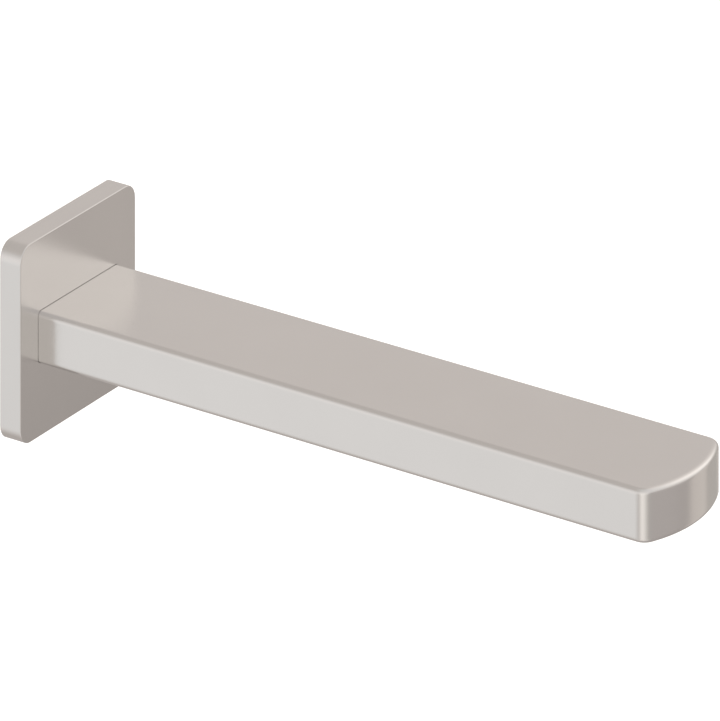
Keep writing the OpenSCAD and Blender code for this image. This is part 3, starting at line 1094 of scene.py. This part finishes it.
CAD_FINISHES = {
    "nipple_washer": FIBRE,
    "inlet_block": MILLED_BRASS,
    "tube_rear_seal": EPDM,
    "water_tube": DRAWN_COPPER,
    "tube_cradles": ACETAL,
    "tube_front_seal": EPDM,
    "outlet_block": MILLED_BRASS,
    "screw_tip": MILLED_BRASS,
    "aerator_washer": EPDM,
    "dome_filter": ACETAL,
    "diffuser_disc": ACETAL,
    "mixing_ring": ACETAL,
    "fine_screens": STAINLESS,
    "honeycomb": ACETAL,
    "spout_seal": EPDM,
    "seal_retainer": ACETAL,
    "wall_gasket": FOAM,
}


def dress_cad_nodes() -> None:
    """Gives each CAD node that stays in view its finish."""
    for node, finish in CAD_FINISHES.items():
        for place in frame["nodes"][node].material_slots:
            place.material = finish.material()
        log.info("%s: %s", node, finish.name)


# ---- studio


WHITE = (1, 1, 1, 1)


@dataclass(frozen=True)
class Panel:
    """One soft panel of the light dome: the direction it stands in and the light it gives."""

    toward: tuple[float, float, float]
    light: tuple[float, float, float]


@dataclass(frozen=True)
class SoftBox:
    """A small soft box close by: where it stands, what it faces, its size, and its light."""

    name: str
    at_mm: tuple[float, float, float]
    facing_mm: tuple[float, float, float]
    size_mm: tuple[float, float]
    light: float
    tint: str = "#fff6ee"

    def place(self) -> None:
        """Makes the area light. Its power is pi times its area times the light it gives."""
        lamp = bpy.data.lights.new(self.name, "AREA")
        lamp.shape = "RECTANGLE"
        lamp.size, lamp.size_y = (side * MM for side in self.size_mm)
        lamp.energy = math.pi * lamp.size * lamp.size_y * self.light
        lamp.color = linear(self.tint)[:3]
        holder = put_in_scene(self.name, lamp)
        place, target = Vector(self.at_mm) * MM, Vector(self.facing_mm) * MM
        turn = (target - place).to_track_quat("-Z", "Y")
        holder.matrix_world = Matrix.LocRotScale(place, turn, None)
        holder.visible_camera = False


@dataclass
class Studio:
    """A dome of soft panels that run into each other, and a pale floor.

    The light from a direction is the mean of the panels' light, each weighted by
    exp(narrowness * (cosine of the angle to it - 1)), so there are no hard edges.
    """

    narrowness: float = 18.0
    panels: tuple[Panel, ...] = (
        Panel((-0.76, 0.51, -0.4), (1.12, 1.16, 1.18)),
        Panel((-0.86, 0.51, -0.03), (1.18, 1.12, 1.09)),
        Panel((-0.8, 0.51, 0.33), (0.88, 0.87, 0.87)),
        Panel((-0.6, 0.51, 0.62), (0.6, 0.55, 0.51)),
        Panel((-0.26, 0.51, 0.82), (0.62, 0.58, 0.55)),
        Panel((0.12, 0.51, 0.85), (0.64, 0.6, 0.57)),
        Panel((0.76, 0.51, 0.4), (0.74, 0.69, 0.66)),
        Panel((0.76, -0.51, 0.4), (1.76, 1.69, 1.63)),
        Panel((0.76, -0.09, 0.64), (0.89, 0.83, 0.79)),
        Panel((0.76, -0.51, -0.4), (0.335, 0.305, 0.285)),
        Panel((0.54, -0.74, -0.4), (0.57, 0.53, 0.51)),
        Panel((0.18, -0.9, -0.4), (0.55, 0.51, 0.49)),
        Panel((0.89, -0.1, -0.4), (0.68, 0.64, 0.6)),
        Panel((0.9, 0.15, -0.4), (0.38, 0.36, 0.34)),
        Panel((0.68, -0.68, 0.26), (0.78, 0.74, 0.71)),
        Panel((-0.78, -0.48, -0.4), (1.3, 1.25, 1.2)),
        Panel((-0.83, -0.5, 0.0), (1.3, 1.25, 1.2)),
        Panel((-0.6, -0.4, -0.7), (1.2, 1.13, 1.08)),
        Panel((-0.9, 0.2, -0.4), (0.6, 0.56, 0.53)),
        Panel((-0.6, -0.69, -0.4), (0.42, 0.4, 0.37)),
        Panel((-0.3, -0.87, -0.4), (0.57, 0.54, 0.52)),
        Panel((-0.58, 0.51, -0.64), (0.85, 0.8, 0.77)),
        Panel((-0.25, 0.51, -0.82), (0.55, 0.51, 0.48)),
        Panel((0.4, 0.51, -0.76), (0.6, 0.56, 0.54)),
        Panel((0, -0.6, 0.8), (0.9, 0.87, 0.86)),
        Panel((-0.8, -0.5, 0.35), (0.9, 0.87, 0.85)),
        Panel((0, -0.3, -0.95), (0.5, 0.47, 0.45)),
        Panel((0.3, 0.93, -0.2), (0.7, 0.66, 0.63)),
        Panel((-0.3, 0.1, 0.95), (0.78, 0.77, 0.75)),
    )
    soft_boxes: tuple[SoftBox, ...] = (
        SoftBox("nose_soft_box", (250.0, -378.0, -125.0), (0.0, -229.0, 0.0), (130.0, 190.0), 0.28),
        SoftBox("plate_soft_box", (228.0, -161.0, -76.0), (-2.0, -8.0, 22.0), (80.0, 80.0), 0.16),
    )
    floor_z_mm: float = -260.0
    floor_half_m: float = 6.0
    floor_colour: str = "#f6f6f6"
    floor_roughness: float = 0.9
    floor_glow: float = 0.5

    def light(self) -> None:
        """Lights the scene with the dome. The view behind the object is plain white."""
        world = bpy.data.worlds.new("studio")
        bpy.context.scene.world = world
        tree = empty_tree(world)
        way = add_node(tree, "TexCoord").outputs["Generated"]
        weight, light = self._share(tree, way, self.panels[0])
        for panel in self.panels[1:]:
            share, part = self._share(tree, way, panel)
            weight = add_node(tree, "Math", {0: weight, 1: share}, operation="ADD").outputs[0]
            light = add_node(tree, "VectorMath", {0: light, 1: part}, operation="ADD").outputs[0]
        level = add_node(tree, "Math", {0: 1.0, 1: weight}, operation="DIVIDE").outputs[0]
        mean = add_node(tree, "VectorMath", {0: light, "Scale": level}, operation="SCALE")
        dome = add_node(tree, "Background", {"Color": mean.outputs[0]})
        plain = add_node(tree, "Background", {"Color": WHITE})
        seen = add_node(tree, "LightPath").outputs["Is Camera Ray"]
        mixed = add_node(tree, "MixShader", {0: seen, 1: dome.outputs[0], 2: plain.outputs[0]})
        add_node(tree, "OutputWorld", {"Surface": mixed.outputs[0]})
        for box in self.soft_boxes:
            box.place()

    def _share(self, tree: NodeTree, way: NodeSocket, panel: Panel) -> tuple[NodeSocket, NodeSocket]:
        """Adds one panel.

        Args:
            tree: The world's node tree.
            way: The direction that a ray looks in.
            panel: The panel.

        Returns:
            Its weight, and its light times its weight.
        """
        length = math.sqrt(sum(c * c for c in panel.toward))
        toward = tuple(c / length for c in panel.toward)
        near = add_node(tree, "VectorMath", {0: way, 1: toward}, operation="DOT_PRODUCT")
        line = {0: near.outputs["Value"], 1: self.narrowness, 2: -self.narrowness}
        fall = add_node(tree, "Math", line, operation="MULTIPLY_ADD")
        share = add_node(tree, "Math", {0: fall.outputs[0]}, operation="EXPONENT").outputs[0]
        part = add_node(tree, "VectorMath", {0: panel.light, "Scale": share}, operation="SCALE")
        return share, part.outputs[0]

    def floor(self) -> None:
        """Lays a wide pale floor well below the spout, which reflections look past."""
        half, z = self.floor_half_m / MM, self.floor_z_mm
        side = np.linspace(-half, half, 3)
        x, y = np.meshgrid(side, side, indexing="ij")
        sheet = grid(np.stack([x, y, np.full(x.shape, z)], axis=2))
        mesh = bpy.data.meshes.new("floor")
        mesh.from_pydata((sheet.points * MM).tolist(), [], sheet.quads.tolist())
        made = bpy.data.materials.new("pale_floor")
        tree = empty_tree(made)
        shader = add_node(
            tree,
            "BsdfPrincipled",
            {
                "Base Color": linear(self.floor_colour),
                "Roughness": self.floor_roughness,
                "Emission Color": WHITE,
                "Emission Strength": self.floor_glow,
            },
        )
        add_node(tree, "OutputMaterial", {"Surface": shader.outputs[0]})
        mesh.materials.append(made)
        plane = put_in_scene("floor", mesh)
        plane.visible_glossy = False
        plane.visible_diffuse = False


@dataclass
class StudioCamera:
    """A camera with upright verticals: its film plane stands upright while it looks down.

    turn_deg is the angle of its level direction from +X towards the wall, and fall
    is how far its line of sight drops for each unit of that direction. It stands
    away_mm back from the middle of the plate's front, and lens_mm is for Blender's
    own sensor of 36 mm.
    """

    turn_deg: float = 33.83
    fall: float = 0.43667
    lens_mm: float = 452.23839
    aside_mm: float = -85.68
    away_mm: float = 2756.6
    above_mm: float = 1189.4
    far_clip_m: float = 50.0

    def place(self) -> None:
        """Makes the camera and sets it as the scene's.

        The upright film plane is a shear in the camera's parent inverse: its columns
        are right, up, backwards along the line of sight, and the camera's place. The
        third column is longer than 1, and the lens is lengthened to match.
        """
        a = math.radians(self.turn_deg)
        ahead, right = np.array([math.cos(a), math.sin(a)]), np.array([math.sin(a), -math.cos(a)])
        plate_front = -box_mm("wall_plate")[0][1]
        x, y = -self.aside_mm * right - self.away_mm * ahead + np.array([0, -plate_front])
        lens = bpy.data.cameras.new("camera")
        lens.lens = self.lens_mm * math.hypot(1, self.fall)
        lens.clip_end = self.far_clip_m
        camera = put_in_scene("camera", lens)
        camera.parent = put_in_scene("camera_rig", None)
        camera.matrix_parent_inverse = Matrix(
            (
                (right[0], 0, -ahead[0], x * MM),
                (right[1], 0, -ahead[1], y * MM),
                (0, 1, self.fall, self.above_mm * MM),
                (0, 0, 0, 1),
            )
        )
        bpy.context.scene.camera = camera


def main() -> None:
    """Builds the object and its studio, and reports each piece."""
    logging.basicConfig(level=logging.INFO, format="%(name)s: %(message)s")
    bpy.context.scene.view_settings.view_transform = "Standard"
    StudioCamera().place()
    studio = Studio()
    studio.light()
    studio.floor()
    Spout().make()
    WallPlate().make()
    WallNipple().make()
    GrubScrew().make()
    AeratorHousing().make()
    dress_cad_nodes()


if __name__ == "__main__":
    main()
